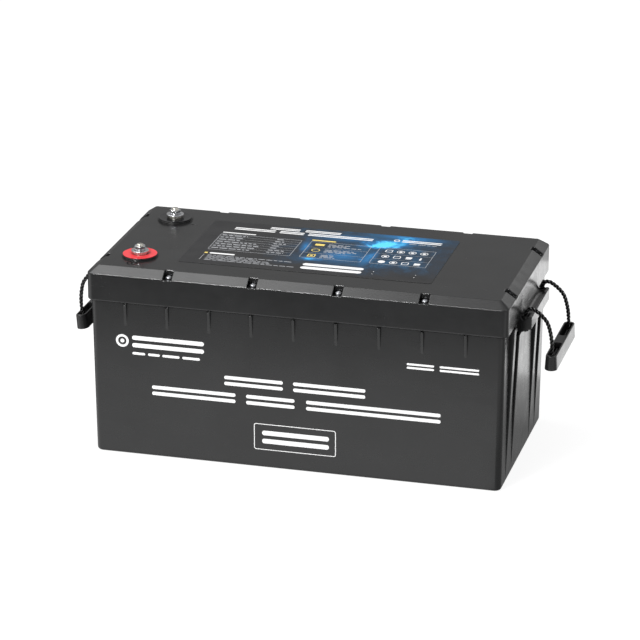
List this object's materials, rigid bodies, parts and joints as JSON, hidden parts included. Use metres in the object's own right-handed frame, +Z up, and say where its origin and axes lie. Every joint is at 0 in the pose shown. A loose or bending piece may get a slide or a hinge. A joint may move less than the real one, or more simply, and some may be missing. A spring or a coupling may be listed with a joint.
{
  "type": "deep cycle battery",
  "caption": "Rechargeable deep cycle battery block with a screwed ribbed case, rope carry handles at both ends, stud terminals on the lid and a series cell pack inside.",
  "frame": {"origin": "centre of the case's base, on the plane it stands on", "axes": "+X along the length with the terminals at the -X end, -Y is the printed front, +Z up"},
  "size_m": [0.5658, 0.24, 0.2397],
  "materials": {
    "case_plastic": "satin moulded",
    "lid_plastic": "satin moulded",
    "seal_rubber": "matte",
    "plated_steel": "bright zinc",
    "label_film": "laminated film",
    "red_plastic": "semi gloss",
    "black_gloss": "gloss",
    "tinned_brass": "tinned",
    "rope_fibre": "laid cord",
    "grip_plastic": "satin moulded",
    "cell_wrap": "film wrapped can",
    "fibreglass": "sheet",
    "aluminium": "brushed",
    "strap_steel": "rolled",
    "nickel_copper": "plated",
    "board_green": "solder mask",
    "foam": "open cell",
    "cable_red": "silicone",
    "cable_black": "silicone",
    "wire_white": "insulated"
  },
  "bodies": {
    "root": {"balance_harness": "wire_white", "base_pad": "foam", "bms_board": "board_green", "bms_cell_cable": "cable_black", "bms_heatsink": "aluminium", "busbar_1": "nickel_copper", "busbar_2": "nickel_copper", "busbar_3": "nickel_copper", "case": "case_plastic", "cell_1": "cell_wrap", "cell_2": "cell_wrap", "cell_3": "cell_wrap", "cell_4": "cell_wrap", "cell_spacer_1": "fibreglass", "cell_spacer_2": "fibreglass", "cell_spacer_3": "fibreglass", "end_plate_left": "aluminium", "end_plate_right": "aluminium", "foam_block_right": "foam", "foam_pad_back": "foam", "foam_pad_front": "foam", "left_rope_knot_back": "rope_fibre", "left_rope_knot_front": "rope_fibre", "lid": "lid_plastic", "lid_gasket": "seal_rubber", "lid_screw_01": "plated_steel", "lid_screw_02": "plated_steel", "lid_screw_03": "plated_steel", "lid_screw_04": "plated_steel", "lid_screw_05": "plated_steel", "lid_screw_06": "plated_steel", "lid_screw_07": "plated_steel", "lid_screw_08": "plated_steel", "lid_screw_09": "plated_steel", "lid_screw_10": "plated_steel", "lid_screw_11": "plated_steel", "lid_screw_12": "plated_steel", "negative_cable": "cable_black", "negative_flat_washer": "plated_steel", "negative_terminal_collar": "black_gloss", "negative_terminal_post": "tinned_brass", "pack_strap_lower": "strap_steel", "pack_strap_upper": "strap_steel", "positive_cable": "cable_red", "positive_flat_washer": "plated_steel", "positive_terminal_collar": "red_plastic", "positive_terminal_post": "tinned_brass", "right_rope_knot_back": "rope_fibre", "right_rope_knot_front": "rope_fibre", "temperature_sensor": "wire_white", "top_label": "label_film"},
    "right_rope": {"right_rope_loop": "rope_fibre"},
    "right_grip": {"right_grip": "grip_plastic"},
    "left_rope": {"left_rope_loop": "rope_fibre"},
    "left_grip": {"left_grip": "grip_plastic"},
    "positive_lock_washer": {"positive_spring_washer": "plated_steel"},
    "positive_nut": {"positive_hex_nut": "plated_steel"},
    "negative_lock_washer": {"negative_spring_washer": "plated_steel"},
    "negative_nut": {"negative_hex_nut": "plated_steel"}
  },
  "joints": [
    {"name": "right_handle_swing", "type": "hinge", "parent": "root", "child": "right_rope", "pos_m": [0.2503, 0, 0.1933], "axis": [0, -1, 0], "range_deg": [-20, 110]},
    {"name": "right_grip_tilt", "type": "hinge", "parent": "right_rope", "child": "right_grip", "pos_m": [0.2796, 0, 0.138], "axis": [0, -1, 0], "range_deg": [-15, 15]},
    {"name": "left_handle_swing", "type": "hinge", "parent": "root", "child": "left_rope", "pos_m": [-0.2503, 0, 0.1933], "axis": [0, 1, 0], "range_deg": [-12, 118]},
    {"name": "left_grip_tilt", "type": "hinge", "parent": "left_rope", "child": "left_grip", "pos_m": [-0.27162, 0, 0.13446], "axis": [0, 1, 0], "range_deg": [-15, 15]},
    {"name": "positive_nut_lift", "type": "slide", "parent": "root", "child": "positive_lock_washer", "axis": [0, 0, 1], "range_m": [0, 0.005]},
    {"name": "positive_nut_turn", "type": "hinge", "parent": "positive_lock_washer", "child": "positive_nut", "pos_m": [-0.1953, -0.0675, 0.236], "axis": [0, 0, 1], "range_deg": [0, 1440]},
    {"name": "negative_nut_lift", "type": "slide", "parent": "root", "child": "negative_lock_washer", "axis": [0, 0, 1], "range_m": [0, 0.005]},
    {"name": "negative_nut_turn", "type": "hinge", "parent": "negative_lock_washer", "child": "negative_nut", "pos_m": [-0.1953, 0.0675, 0.236], "axis": [0, 0, 1], "range_deg": [0, 1440]}
  ],
  "couplings": [
    {"joint": "positive_nut_turn", "follows": "positive_nut_lift", "rad_per_m": 5026.5},
    {"joint": "negative_nut_turn", "follows": "negative_nut_lift", "rad_per_m": 5026.5}
  ]
}
